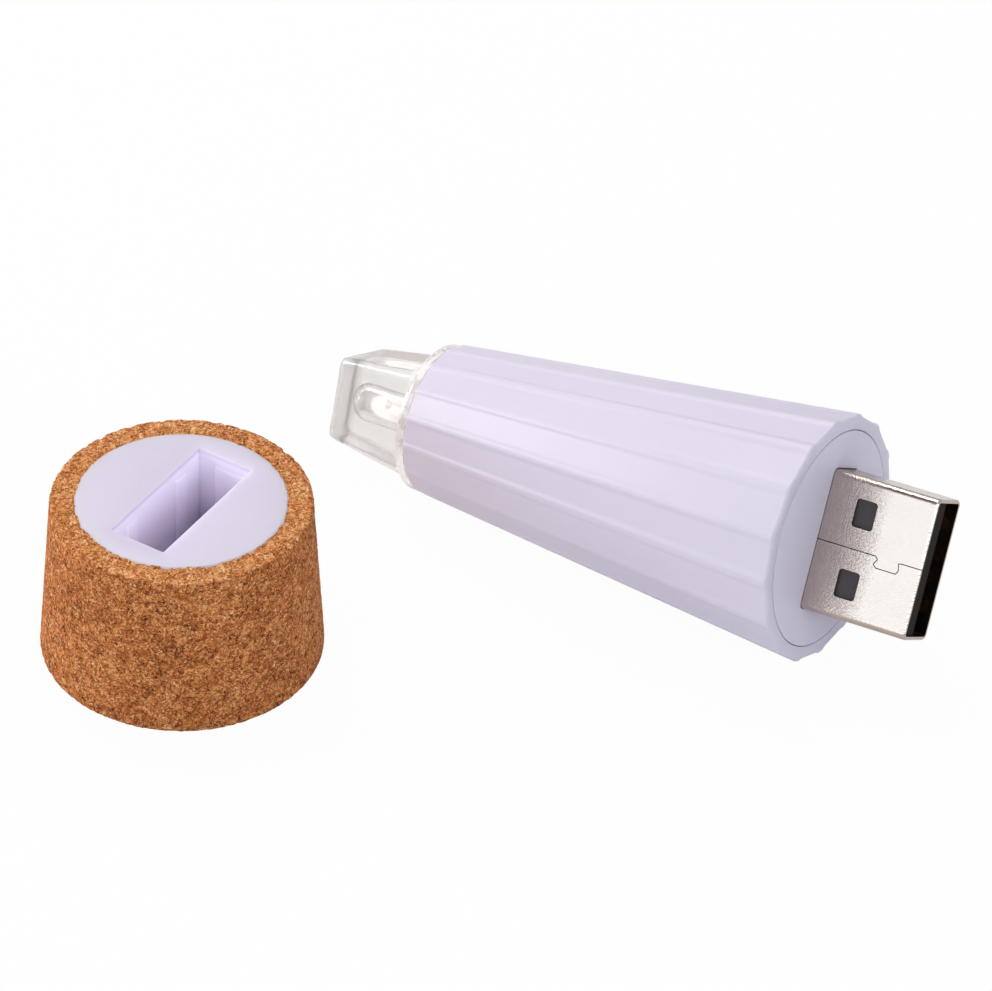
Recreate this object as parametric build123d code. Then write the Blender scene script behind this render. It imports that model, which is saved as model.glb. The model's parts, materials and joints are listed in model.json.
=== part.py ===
from build123d import *
import math
import os

# A rechargeable bottle light in two halves, as photographed: a cork cap that stands on its wide end,
# and a fluted conical light that lies on its side with its plug bare. Lengths are in millimetres.
# The light is built along its own X axis: the small rim of its shell is at zero, the plug points to +X,
# Y runs across the plug's width, and Z is the way the plug's seam faces. It is then laid on the table.

# Fluted shell
shell_length = 38.0
wide_rib_radius = 10.72
small_rib_radius = 6.66
shell_wall = 1.2
rib_count = 16
rib_height_share = 0.018
rib_top_share = 0.11
rib_foot_share = 0.17
rim_wall = 1.17
socket_depth = 3.6
socket_wall = 1.64

# End disc
disc_thickness = 1.5
disc_seam = 0.06

# Lens tip
lens_length = 9.2
lens_base_step = 0.08
lens_end_radius = 5.10
lens_base_flat = 4.85
lens_end_flat = 3.60
lens_turn = 9.0
lens_corner = 0.8
lens_end_edge = 0.6
flange_thickness = 0.85
flange_inset = 0.10
spigot_wall = 1.25
bead_height = 0.25
bead_width = 0.6
lamp_clearance = 0.2
lens_end_wall = 1.2
running_gap = 0.05

# Plug
plug_width = 12.0
plug_thickness = 4.5
plug_reach = 9.73
plug_tail = 7.5
plug_sheet = 0.3
plug_corner = 0.55
window_width = 2.4
window_length = 1.95
window_spacing = 6.0
window_setback = 5.16
window_corner = 0.3
seam_gap = 0.08
seam_jog = 0.95
seam_jog_start = 4.23
seam_jog_length = 2.3
seam_tab_shares = (
    (0, 0),
    (0.09, 0.25),
    (-0.03, 0.74),
    (0.11, 1),
    (0.91, 1),
    (0.99, 0.68),
    (0.93, 0.07),
    (1.02, 0),
)
plug_mouth_chamfer = 0.12
tongue_thickness = 1.85
tongue_setback = 0.25
block_length = 6.0
contact_width = 1.0
contact_thickness = 0.2
contact_setback = 1.2
outer_contact_place = 3.5
inner_contact_place = 1.0
fit_gap = 0.05

# Lamp, its leads and its board
lamp_radius = 1.5
lamp_flange_radius = 1.9
lamp_flange_height = 1.0
lamp_length = 5.3
lead_radius = 0.22
lead_spacing = 2.54
lead_stub = 0.8
lamp_board_thickness = 0.8

# Inner carrier
stem_gap = 0.4
stem_end_gap = 0.3
stem_reach = 1.0
bulkhead_thickness = 1.5
rail_thickness = 0.75
carrier_gap = 0.12
rail_low_angle = -8.0
rail_high_angle = 40.0
rail_side_gap = 1.0
rest_length = 2.0

# Twist switch
bridge_thickness = 0.3
pad_thickness = 0.2
contact_gap = 0.05
switch_inner_margin = 0.15
switch_outer_margin = 0.25
bridge_angle = 150.0
pad_angle = 28.0

# Battery
battery_start = 7.2
battery_board_gap = 1.95
battery_groove_depth = 0.35
battery_groove_width = 1.0
button_radius = 2.3
button_height = 0.8
gasket_height = 0.3
sleeve_thickness = 0.1
strap_width = 2.4
strap_thickness = 0.15
strap_landing = 1.6

# Lamp wires
wire_radius = 0.3
wire_gap = 0.15
wire_landing = 2.0

# Main board and what is soldered to it
board_length = 9.0
board_side_gap = 0.95
board_thickness = 0.8
board_gap = 0.35
chip_length = 4.9
chip_width = 3.9
chip_height = 1.5
chip_standoff = 0.15
chip_clearance = 0.9
chip_leg_width = 0.42
chip_leg_pitch = 1.27
chip_leg_reach = 1.05
chip_leg_thickness = 0.2
small_part_length = 2.0
small_part_width = 1.25
small_part_gap = 0.4
resistor_height = 0.5
capacitor_height = 0.9
indicator_height = 0.8

# Cork cap
cap_height = 15.17
cap_top_radius = 10.90
cap_base_radius = 11.95
cap_top_edge = 0.35
cap_base_edge = 0.7
cork_wall = 2.0
insert_floor = 1.6
insert_gap = 0.02
slot_end_gap = 0.2
slot_side_gap = 0.125
slot_end_room = 0.87
grip_rib_height = 0.2
grip_rib_width = 1.6
grip_rib_setback = 1.0
grip_rib_place_share = 0.28
end_pad_width = 3.55

# How the two halves lie
cap_behind = 6.5
cap_beside = 30.4
overrun = 1.0

# Worked out from the sizes above
rib_pitch = 360 / rib_count
small_flute_radius = small_rib_radius * (1 - rib_height_share)
wide_flute_radius = wide_rib_radius * (1 - rib_height_share)


def flute_radius_at(x):
    """Radius of the shell's flutes at a place along its axis."""
    return small_flute_radius + (wide_flute_radius - small_flute_radius) * x / shell_length


def cavity_radius_at(x):
    """Radius of the shell's hollow at a place along its axis."""
    return flute_radius_at(x) - shell_wall


contact_angle = math.radians(rib_pitch * (0.5 - rib_top_share))
tilt = math.degrees(math.atan((wide_rib_radius - small_rib_radius) * math.cos(contact_angle) / shell_length))
lift = small_rib_radius * math.cos(contact_angle) * math.cos(math.radians(tilt))
roll = 2.5 * rib_pitch
disc_radius = wide_flute_radius - rim_wall - disc_seam
disc_start = shell_length - disc_thickness
flange_radius = small_rib_radius * math.cos(contact_angle) - flange_inset
lens_base_radius = flange_radius - lens_base_step
spigot_radius = small_flute_radius - socket_wall - running_gap
spigot_bore = spigot_radius - spigot_wall
stem_radius = spigot_bore - stem_gap
switch_inner_radius = spigot_bore + switch_inner_margin
switch_outer_radius = spigot_radius - switch_outer_margin
bridge_start = socket_depth - pad_thickness - contact_gap - bridge_thickness
bulkhead_end = socket_depth + bulkhead_thickness
lamp_board_end = bulkhead_end + lamp_board_thickness
plug_tip = shell_length + plug_reach
plug_start = shell_length - plug_tail
inner_half_width = plug_width / 2 - plug_sheet
inner_half_thickness = plug_thickness / 2 - plug_sheet
tongue_low = inner_half_thickness - fit_gap - tongue_thickness
block_start = plug_start + plug_sheet
board_top = -plug_thickness / 2
board_bottom = board_top - board_thickness
board_end = disc_start - board_gap
board_start = board_end - board_length
board_width = 2 * (math.sqrt(cavity_radius_at(board_start) ** 2 - board_bottom**2) - board_side_gap)
wire_ring_radius = cavity_radius_at(lamp_board_end) - carrier_gap - wire_radius
battery_radius = wire_ring_radius - wire_radius - wire_gap - sleeve_thickness
battery_seat_radius = battery_radius + sleeve_thickness + fit_gap
battery_end = board_start - battery_board_gap
button_end = battery_end + button_height
rail_sectors = ((rail_low_angle, rail_high_angle), (180 - rail_high_angle, 180 - rail_low_angle))
insert_radius = cap_top_radius - cork_wall
slot_length = plug_width + 2 * (grip_rib_height + slot_end_gap)
slot_width = plug_thickness + 2 * (grip_rib_height + slot_side_gap)
slot_depth = plug_reach + slot_end_room
insert_depth = slot_depth + insert_floor


def across(x):
    """A plane square to the light's axis, with Y and Z as its own directions."""
    return Plane(origin=(x, 0, 0), x_dir=(0, 1, 0), z_dir=(1, 0, 0))


def rod(radius, start, end):
    """A round bar on the light's axis."""
    return extrude(across(start) * Circle(radius), end - start)


def taper(start_radius, end_radius, start, end):
    """A cone on the light's axis."""
    return Solid.make_cone(start_radius, end_radius, end - start, across(start))


def block(x, y, z):
    """A box between two places on each axis."""
    size = (x[1] - x[0], y[1] - y[0], z[1] - z[0])
    middle = ((x[0] + x[1]) / 2, (y[0] + y[1]) / 2, (z[0] + z[1]) / 2)
    return Pos(*middle) * Box(*size)


def wedge(low_angle, high_angle, radius, start, end):
    """A sector of a bar, between two angles counted from Y towards Z."""
    low = math.radians(low_angle)
    high = math.radians(high_angle)
    middle = (low + high) / 2
    reach = radius / math.cos((high - low) / 2)
    corners = [
        (0, 0),
        (radius * math.cos(low), radius * math.sin(low)),
        (reach * math.cos(middle), reach * math.sin(middle)),
        (radius * math.cos(high), radius * math.sin(high)),
    ]
    return extrude(across(start) * make_face(Polyline(*corners, close=True)), end - start)


def fluted_outline(x, rib_radius):
    """The shell's outline: flat flutes between raised ribs."""
    flute_radius = rib_radius * (1 - rib_height_share)
    corners = []
    for k in range(rib_count):
        steps = [
            (-rib_foot_share, flute_radius),
            (-rib_top_share, rib_radius),
            (rib_top_share, rib_radius),
            (rib_foot_share, flute_radius),
        ]
        for share, radius in steps:
            angle = math.radians((k + share) * rib_pitch)
            corners.append((radius * math.cos(angle), radius * math.sin(angle)))
    return across(x) * make_face(Polyline(*corners, close=True))


def snap_groove_places():
    """Start and end of the lens tip's snap bead along the axis."""
    middle = bridge_start * 0.5
    return middle - bead_width / 2, middle + bead_width / 2


def fluted_shell():
    outlines = [fluted_outline(0, small_rib_radius), fluted_outline(shell_length, wide_rib_radius)]
    outside = loft(outlines, ruled=True)
    hollow = taper(cavity_radius_at(socket_depth), cavity_radius_at(disc_start), socket_depth, disc_start)
    socket_radius = spigot_radius + running_gap
    socket = rod(socket_radius, -overrun, socket_depth + overrun)
    bead_start, bead_end = snap_groove_places()
    groove = rod(socket_radius + bead_height, bead_start - running_gap, bead_end + running_gap)
    seat = rod(disc_radius + disc_seam, disc_start, shell_length + overrun)
    return outside - hollow - socket - groove - seat


def plug_outline(margin):
    """The plug's rounded outline, grown or shrunk by a margin."""
    width = plug_width + 2 * margin
    thickness = plug_thickness + 2 * margin
    return RectangleRounded(width, thickness, plug_corner + margin)


def end_disc():
    aperture = extrude(across(disc_start - overrun) * plug_outline(fit_gap), disc_thickness + 2 * overrun)
    return rod(disc_radius, disc_start, shell_length) - aperture


def lens_tip():
    flange_end = -running_gap
    flange_start = -flange_thickness
    flange = taper(flange_radius - flange_inset, flange_radius, flange_start, flange_end)
    body = taper(lens_end_radius, lens_base_radius, -lens_length, flange_start)
    small_square = RectangleRounded(2 * lens_end_flat, 2 * lens_end_flat, lens_corner)
    large_square = RectangleRounded(2 * lens_base_flat, 2 * lens_base_flat, lens_corner)
    turned = Rot(0, 0, lens_turn)
    ends = [across(-lens_length) * turned * small_square, across(flange_start) * turned * large_square]
    squared = loft(ends, ruled=True)
    squared = fillet(squared.faces().sort_by(Axis.X)[0].edges(), lens_end_edge)
    body = body & squared
    spigot = rod(spigot_radius, flange_end - running_gap, bridge_start)
    bead_start, bead_end = snap_groove_places()
    bead = rod(spigot_radius + bead_height - running_gap, bead_start, bead_end)
    stem_room = rod(spigot_bore, -stem_reach - stem_end_gap, bridge_start + overrun)
    lamp_room_radius = lamp_radius + lamp_clearance
    room_end = -lens_length + lens_end_wall + lamp_room_radius
    lamp_room = rod(lamp_room_radius, room_end, 0)
    dome = Pos(room_end, 0, 0) * Sphere(lamp_room_radius)
    collar_end = -stem_reach - lamp_flange_height - lamp_clearance
    collar_room = rod(lamp_flange_radius + lamp_clearance, collar_end, 0)
    return flange + body + spigot + bead - stem_room - lamp_room - dome - collar_room


def twist_contact():
    ring = rod(switch_outer_radius, bridge_start, bridge_start + bridge_thickness)
    ring -= rod(switch_inner_radius, bridge_start - overrun, bridge_start + overrun)
    half = bridge_angle / 2
    sector = wedge(90 - half, 90, 2 * switch_outer_radius, bridge_start - overrun, bridge_start + overrun)
    sector += wedge(90, 90 + half, 2 * switch_outer_radius, bridge_start - overrun, bridge_start + overrun)
    return ring & sector


def switch_pads():
    pads = []
    start = socket_depth - pad_thickness
    outer = rod(switch_outer_radius, start, socket_depth)
    ring = outer - rod(switch_inner_radius, start - overrun, socket_depth + overrun)
    for side in (1, -1):
        low = 90 + pad_angle / 2 + side * bridge_angle / 2
        sector = wedge(low, low + pad_angle, 2 * switch_outer_radius, start - overrun, socket_depth + overrun)
        pads.append(ring & sector)
    return pads


def lamp_profile_edges():
    """Half outline of the lamp, from its base to the crown of its dome."""
    base = -stem_reach
    shoulder = base - lamp_flange_height
    dome_start = base - lamp_length + lamp_radius
    crown = base - lamp_length
    straight = Polyline(
        (crown, 0),
        (base, 0),
        (base, lamp_flange_radius),
        (shoulder, lamp_flange_radius),
        (shoulder, lamp_radius),
        (dome_start, lamp_radius),
    )
    dome = CenterArc((dome_start, 0), lamp_radius, 90, 90)
    return straight, dome


def lamp():
    straight, dome = lamp_profile_edges()
    return revolve(make_face([straight, dome]), Axis.X)


def lead_places():
    return (-lead_spacing / 2, lead_spacing / 2)


def lamp_leads():
    leads = []
    for y in lead_places():
        leads.append(Pos(0, y, 0) * rod(lead_radius, -stem_reach, lamp_board_end + lead_stub))
    return leads


def lamp_board():
    radius = cavity_radius_at(bulkhead_end) - fit_gap
    board = rod(radius, bulkhead_end, lamp_board_end)
    rim = board - rod(battery_seat_radius - fit_gap, bulkhead_end - overrun, lamp_board_end + overrun)
    for low, high in rail_sectors:
        notch = wedge(low - rail_side_gap, high + rail_side_gap, 2 * radius, socket_depth, battery_start)
        board -= rim & notch
    for y in lead_places():
        board -= Pos(0, y, 0) * rod(lead_radius + fit_gap, bulkhead_end - overrun, lamp_board_end + overrun)
    return board


def carrier_skin(start, end, inner_start_radius, inner_end_radius):
    """The space between the shell's hollow and an inner cone."""
    outer = taper(cavity_radius_at(start) - carrier_gap, cavity_radius_at(end) - carrier_gap, start, end)
    if inner_start_radius == inner_end_radius:
        return outer - rod(inner_start_radius, start - overrun, end + overrun)
    return outer - taper(inner_start_radius, inner_end_radius, start, end)


def inner_carrier():
    """A bulkhead with a hollow-tip stem, and two rails that hold the battery and the main board."""
    rail_end = disc_start - fit_gap
    bulkhead = rod(cavity_radius_at(socket_depth) - fit_gap, socket_depth, bulkhead_end)
    stem = rod(stem_radius, -stem_reach, socket_depth + fit_gap)
    carrier = bulkhead + stem
    for y in lead_places():
        carrier -= Pos(0, y, 0) * rod(lead_radius + fit_gap, -stem_reach - overrun, bulkhead_end + overrun)
    inner_end = cavity_radius_at(rail_end) - carrier_gap - rail_thickness
    rails = carrier_skin(bulkhead_end - fit_gap, rail_end, battery_seat_radius, inner_end)
    rest_end = battery_end - rest_length
    rails += carrier_skin(rest_end - rest_length, rest_end, battery_seat_radius, battery_seat_radius)
    cheek_start = plug_start + fit_gap
    cheeks = carrier_skin(cheek_start, rail_end, plug_width / 2, plug_width / 2)
    cheek_room = plug_width / 2 + 2 * fit_gap
    far = 2 * wide_rib_radius
    for low, high in rail_sectors:
        side = 1 if high < 90 else -1
        reach = sorted((side * cheek_room, side * far))
        carrier += rails & wedge(low, high, far, socket_depth, shell_length)
        carrier += cheeks & block((cheek_start, board_end), reach, (board_top, plug_thickness / 4))
    return carrier


def battery_can():
    can = rod(battery_radius, battery_start, battery_end)
    groove_end = battery_end - battery_groove_width
    groove_start = groove_end - battery_groove_width
    ring = rod(battery_radius + overrun, groove_start, groove_end)
    ring -= rod(battery_radius - battery_groove_depth, groove_start - overrun, groove_end + overrun)
    return can - ring


def battery_button():
    return rod(button_radius, battery_end, button_end)


def battery_gasket():
    ring = rod(battery_radius - battery_groove_depth, battery_end, battery_end + gasket_height)
    return ring - rod(button_radius + fit_gap, battery_end - overrun, button_end + overrun)


def battery_sleeve():
    start = battery_start + sleeve_thickness
    end = battery_end - sleeve_thickness
    tube = rod(battery_radius + sleeve_thickness, start, end)
    return tube - rod(battery_radius, start - overrun, end + overrun)


def strip(x, z):
    """A flat strap of the battery's strap width between two places along X and two along Z."""
    return block(x, (-strap_width / 2, strap_width / 2), z)


def positive_strap():
    outer = button_end + strap_thickness
    upright = strip((button_end, outer), (board_top, button_radius / 2))
    foot = strip((button_end, board_start + strap_landing), (board_top, board_top + strap_thickness))
    return upright + foot


def negative_strap():
    top = -battery_radius - sleeve_thickness - strap_thickness
    low = top - strap_thickness
    rear = battery_start - strap_thickness
    turn = board_start - strap_thickness
    upright = strip((rear, battery_start), (low, button_radius / 2))
    run = strip((rear, board_start), (low, top))
    riser = strip((turn, board_start), (top, board_bottom))
    foot = strip((turn, board_start + strap_landing), (board_bottom - strap_thickness, board_bottom))
    return upright + run + riser + foot


def lamp_wire(side):
    z = board_top + wire_radius
    y = side * math.sqrt(wire_ring_radius**2 - z**2)
    return Pos(0, y, z) * rod(wire_radius, lamp_board_end, board_start + wire_landing)


def circuit_board():
    reach = (board_start, board_end)
    return block(reach, (-board_width / 2, board_width / 2), (board_bottom, board_top))


def chip_middle():
    return board_start + strap_landing + chip_clearance + chip_length / 2


def charging_chip():
    top = board_bottom - chip_standoff
    x = chip_middle()
    reach = (x - chip_length / 2, x + chip_length / 2)
    body = block(reach, (-chip_width / 2, chip_width / 2), (top - chip_height, top))
    return chamfer(body.faces().sort_by(Axis.Z)[0].edges(), chip_standoff)


def chip_legs():
    legs = []
    shoulder = board_bottom - chip_standoff - chip_height / 2
    for side in (1, -1):
        for k in range(4):
            x = chip_middle() + (k - 1.5) * chip_leg_pitch
            reach = (x - chip_leg_width / 2, x + chip_leg_width / 2)
            wall = side * chip_width / 2
            outer = side * (chip_width / 2 + chip_leg_reach / 2)
            far = side * (chip_width / 2 + chip_leg_reach)
            arm = block(reach, sorted((wall, outer)), (shoulder, shoulder + chip_leg_thickness))
            inner = outer - side * chip_leg_thickness
            drop = block(reach, sorted((inner, outer)), (shoulder, board_bottom))
            foot = block(reach, sorted((inner, far)), (board_bottom - chip_leg_thickness, board_bottom))
            legs.append(arm + drop + foot)
    return legs


def small_part(x, y, height):
    """A small soldered block on the board's underside."""
    reach = (x - small_part_width / 2, x + small_part_width / 2)
    span = (y - small_part_length / 2, y + small_part_length / 2)
    return block(reach, span, (board_bottom - height, board_bottom))


def side_place():
    """Distance from the board's middle to the rows of small parts beside the chip's legs."""
    return chip_width / 2 + chip_leg_reach + small_part_gap + small_part_length / 2


def chip_resistors():
    parts = []
    for side in (1, -1):
        for step in (0, 1):
            x = board_start + small_part_width * (1 + 2 * step)
            parts.append(small_part(x, side * side_place(), resistor_height))
    return parts


def chip_capacitors():
    x = board_end - 2 * small_part_width
    return [small_part(x, side * side_place(), capacitor_height) for side in (1, -1)]


def charge_indicator():
    x = board_end - small_part_width / 2 - fit_gap
    body = small_part(x, 0, indicator_height)
    return chamfer(body.faces().sort_by(Axis.Z)[0].edges(), indicator_height / 4)


def seam_points():
    """The seam's line on the plug's wide wall: places along X and Y, from inside the disc to the mouth."""
    jog_start = plug_tip - seam_jog_start
    points = [(plug_start - overrun, 0)]
    for along_share, aside_share in seam_tab_shares:
        points.append((jog_start + along_share * seam_jog_length, -aside_share * seam_jog))
    points.append((plug_tip + overrun, 0))
    return points


def seam_cut():
    """The plug's seam: a slit along the middle that steps aside round an interlocking tab."""
    points = seam_points()
    base = inner_half_thickness - overrun
    cuts = None
    for start, end in zip(points, points[1:]):
        length = math.dist(start, end)
        angle = math.degrees(math.atan2(end[1] - start[1], end[0] - start[0]))
        middle = Pos((start[0] + end[0]) / 2, (start[1] + end[1]) / 2, base)
        slit = middle * Rot(0, 0, angle) * SlotCenterToCenter(length, seam_gap)
        cut = extrude(slit, plug_sheet + 2 * overrun)
        cuts = cut if cuts is None else cuts + cut
    return cuts


def plug_windows():
    """Four windows with rounded corners, two through each wide wall of the plug."""
    middle = plug_tip - window_setback - window_length / 2
    outline = RectangleRounded(window_length, window_width, window_corner)
    cuts = None
    for side in (1, -1):
        for low in (inner_half_thickness - plug_sheet, -plug_thickness / 2 - overrun):
            depth = 2 * plug_sheet + overrun
            cut = extrude(Pos(middle, side * window_spacing / 2, low) * outline, depth)
            cuts = cut if cuts is None else cuts + cut
    return cuts


def plug_shell():
    length = plug_tip - plug_start
    outside = extrude(across(plug_start) * plug_outline(0), length)
    outside = chamfer(outside.faces().sort_by(Axis.X)[-1].edges(), plug_mouth_chamfer)
    inside = extrude(across(plug_start - overrun) * plug_outline(-plug_sheet), length + 2 * overrun)
    return outside - inside - seam_cut() - plug_windows()


def contact_places():
    return (-outer_contact_place, -inner_contact_place, inner_contact_place, outer_contact_place)


def plug_contacts():
    contacts = []
    top = tongue_low
    low = top - contact_thickness
    drop_end = plug_start - fit_gap
    drop_start = drop_end - contact_thickness
    for y in contact_places():
        span = (y - contact_width / 2, y + contact_width / 2)
        run = block((drop_start, plug_tip - contact_setback), span, (low, top))
        drop = block((drop_start, drop_end), span, (board_top, top))
        foot = block((drop_start - contact_width, drop_end), span, (board_top, board_top + contact_thickness))
        contacts.append(run + drop + foot)
    return contacts


def plug_insulator():
    """The block that fills the plug's rear and the tongue that carries the contacts."""
    width = (-inner_half_width + fit_gap, inner_half_width - fit_gap)
    roof = inner_half_thickness - fit_gap
    rear = block((block_start, block_start + block_length), width, (-roof, roof))
    tongue = block((block_start, plug_tip - tongue_setback), width, (tongue_low, roof))
    insulator = rear + tongue
    for contact in plug_contacts():
        insulator -= contact
    room = extrude(across(plug_start) * plug_outline(-plug_sheet - fit_gap), plug_tip - plug_start)
    return insulator & room


def upright_rod(radius, low, high):
    """A round bar that stands on the cap's axis."""
    return Pos(0, 0, low) * extrude(Circle(radius), high - low)


def cork_sleeve():
    outside = Solid.make_cone(cap_base_radius, cap_top_radius, cap_height)
    outside = fillet(outside.faces().sort_by(Axis.Z)[0].edges(), cap_base_edge)
    outside = fillet(outside.faces().sort_by(Axis.Z)[-1].edges(), cap_top_edge)
    pocket = upright_rod(insert_radius + insert_gap, cap_height - insert_depth, cap_height + overrun)
    return outside - pocket


def grip_ribs():
    """Low ribs on the slot's walls that hold the plug: two on each long wall and a pad at each end."""
    height = (cap_height - slot_depth - fit_gap, cap_height - grip_rib_setback)
    inner = slot_width / 2 - grip_rib_height
    end_inner = slot_length / 2 - grip_rib_height
    ribs = None
    for side in (1, -1):
        for place in (1, -1):
            y = place * slot_length * grip_rib_place_share
            reach = sorted((side * inner, side * (slot_width / 2 + fit_gap)))
            rib = block(reach, (y - grip_rib_width / 2, y + grip_rib_width / 2), height)
            ribs = rib if ribs is None else ribs + rib
        pad = sorted((side * (slot_width / 2 + fit_gap), side * (slot_width / 2 - end_pad_width)))
        span = sorted((side * end_inner, side * (slot_length / 2 + fit_gap)))
        ribs += block(pad, span, height)
    return ribs


def cap_insert():
    body = upright_rod(insert_radius, cap_height - insert_depth, cap_height)
    slot = block(
        (-slot_width / 2, slot_width / 2),
        (-slot_length / 2, slot_length / 2),
        (cap_height - slot_depth, cap_height + overrun),
    )
    return body - slot + grip_ribs()


def light_pieces():
    """Every piece of the light, in the light's own directions."""
    return {
        "fluted_shell": [fluted_shell()],
        "end_disc": [end_disc()],
        "plug_shell": [plug_shell()],
        "plug_insulator": [plug_insulator()],
        "plug_contacts": plug_contacts(),
        "lens_tip": [lens_tip()],
        "twist_contact": [twist_contact()],
        "switch_pads": switch_pads(),
        "lamp": [lamp()],
        "lamp_leads": lamp_leads(),
        "lamp_board": [lamp_board()],
        "inner_carrier": [inner_carrier()],
        "battery_can": [battery_can()],
        "battery_button": [battery_button()],
        "battery_gasket": [battery_gasket()],
        "battery_sleeve": [battery_sleeve()],
        "positive_strap": [positive_strap()],
        "negative_strap": [negative_strap()],
        "red_lamp_wire": [lamp_wire(1)],
        "black_lamp_wire": [lamp_wire(-1)],
        "circuit_board": [circuit_board()],
        "charging_chip": [charging_chip()],
        "chip_legs": chip_legs(),
        "chip_resistors": chip_resistors(),
        "chip_capacitors": chip_capacitors(),
        "charge_indicator": [charge_indicator()],
    }


def cap_pieces():
    """The cap's pieces, standing on the table."""
    return {"cork_sleeve": [cork_sleeve()], "cap_insert": [cap_insert()]}


def placed_set():
    """Both halves on the table, with the set's footprint centred on the origin."""
    laid = Pos(0, 0, lift) * Rot(0, -tilt, 0) * Rot(roll, 0, 0)
    stood = Pos(-cap_behind, -cap_beside, 0)
    nodes = {name: [laid * piece for piece in pieces] for name, pieces in light_pieces().items()}
    nodes.update({name: [stood * piece for piece in pieces] for name, pieces in cap_pieces().items()})
    footprint = Compound(children=[piece for pieces in nodes.values() for piece in pieces]).bounding_box()
    centre = Pos(-footprint.center().X, -footprint.center().Y, -footprint.min.Z)
    placed = {name: [centre * piece for piece in pieces] for name, pieces in nodes.items()}
    return placed, centre * laid, centre * stood


def print_places(laid, stood):
    """Places and directions that the record states, in millimetres in the row's frame."""
    def place(location, x, y, z):
        point = (location * Pos(x, y, z)).position
        return [round(point.X, 4), round(point.Y, 4), round(point.Z, 4)]

    start = (laid * Pos(0, 0, 0)).position
    ahead = (laid * Pos(shell_length, 0, 0)).position
    way = (ahead - start).normalized()
    print("light axis", [round(way.X, 6), round(way.Y, 6), round(way.Z, 6)])
    print("small rim centre", place(laid, 0, 0, 0))
    print("wide rim centre", place(laid, shell_length, 0, 0))
    print("plug mouth centre", place(laid, plug_tip, 0, 0))
    print("cap base centre", place(stood, 0, 0, 0))
    print("slot mouth centre", place(stood, 0, 0, cap_height))
    print("slot floor centre", place(stood, 0, 0, cap_height - slot_depth))


def main():
    os.makedirs("parts", exist_ok=True)
    nodes, laid, stood = placed_set()
    for name, pieces in nodes.items():
        solids = [solid for piece in pieces for solid in piece.solids()]
        shape = solids[0] if len(solids) == 1 else Compound(children=solids)
        export_step(shape, f"parts/{name}.step")
        print(name, len(solids), round(sum(solid.volume for solid in solids), 3))
    print_places(laid, stood)


main()
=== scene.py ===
# %% [markdown]
# A cork bottle light, taken apart. The cork cap stands on its wide end, and the fluted light lies on
# its side beside it, with its plug bare and its clear lens tip at the other end. The construction is
# already made, and this script dresses it: it gives each visible piece its fine shape and its finish,
# and sets up the table, the lamps and the camera.

# %% Load the model
import json
import math

import bmesh
import bpy
from mathutils import Matrix, Vector, noise


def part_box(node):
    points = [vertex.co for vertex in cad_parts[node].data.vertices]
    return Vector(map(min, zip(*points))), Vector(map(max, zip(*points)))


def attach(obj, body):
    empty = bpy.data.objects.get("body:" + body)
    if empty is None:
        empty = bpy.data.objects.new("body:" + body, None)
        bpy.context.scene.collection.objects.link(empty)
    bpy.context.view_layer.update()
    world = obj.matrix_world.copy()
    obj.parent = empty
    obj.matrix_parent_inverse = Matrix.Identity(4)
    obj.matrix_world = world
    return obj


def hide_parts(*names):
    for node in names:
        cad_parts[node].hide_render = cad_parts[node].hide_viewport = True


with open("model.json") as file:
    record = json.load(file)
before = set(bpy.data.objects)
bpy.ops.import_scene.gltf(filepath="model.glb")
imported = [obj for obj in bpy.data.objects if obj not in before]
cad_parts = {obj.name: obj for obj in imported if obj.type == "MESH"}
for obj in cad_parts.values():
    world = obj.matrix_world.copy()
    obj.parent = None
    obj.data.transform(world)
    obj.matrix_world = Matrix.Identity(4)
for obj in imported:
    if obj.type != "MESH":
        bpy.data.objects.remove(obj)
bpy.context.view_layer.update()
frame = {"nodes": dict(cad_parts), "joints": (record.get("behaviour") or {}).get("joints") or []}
NODES = frame["nodes"]
print("pieces in the model:", len(NODES))

# %% [markdown]
# Everything is in metres, but a bottle light is small, so sizes are written as millimetres times MM.
# The light's own axis comes from its twisting tip's joint. A piece of the light is modelled upright,
# standing on the small rim of its shell, with the plug pointing up: that is how a lathe or a mould
# would hold it, and it keeps every ring level. One matrix then lays the finished mesh on the table.
# The other way is to model it lying down, but then no size would read off directly.

# %% Where the light and the cap stand
MM = 0.001
HAIR = 0.01 * MM
RIB_COUNT = 16
RIB_PITCH = 2 * math.pi / RIB_COUNT
ROLL = 2.5 * RIB_PITCH

twist = next(joint for joint in frame["joints"] if joint["name"] == "tip_twist")
AXIS = Vector(twist["axis"])
TILT = math.atan2(AXIS.z, AXIS.x)
UPRIGHT_TO_AXIS = Matrix(((0, 0, 1, 0), (1, 0, 0, 0), (0, 1, 0, 0), (0, 0, 0, 1)))
LAID = (
    Matrix.Translation(Vector(twist["pos_m"]))
    @ Matrix.Rotation(-TILT, 4, "Y")
    @ Matrix.Rotation(ROLL, 4, "X")
    @ UPRIGHT_TO_AXIS
)
cap_low, cap_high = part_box("cork_sleeve")
STOOD = Matrix.Translation(((cap_low.x + cap_high.x) / 2, (cap_low.y + cap_high.y) / 2, cap_low.z))


def upright(node, place):
    """A node's points, seen from the piece's own upright position."""
    back = place.inverted()
    return [back @ vertex.co for vertex in NODES[node].data.vertices]


def widest(points):
    """The largest distance from the axis."""
    return max(math.hypot(p.x, p.y) for p in points)


def lowest(points):
    return min(p.z for p in points)


def highest(points):
    return max(p.z for p in points)


print("tilt of the light:", round(math.degrees(TILT), 2), "degrees")

# %% [markdown]
# A few helpers make rings, and grow one ring into the next. Extruding a ring of edges and then moving
# it to a new radius and height is how a turned part is built by hand in the editor. A spin of a drawn
# profile gives the same, but rings can also be fluted or squared on the way.

# %% Rings, loops and bevels
ROUND = 128


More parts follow.
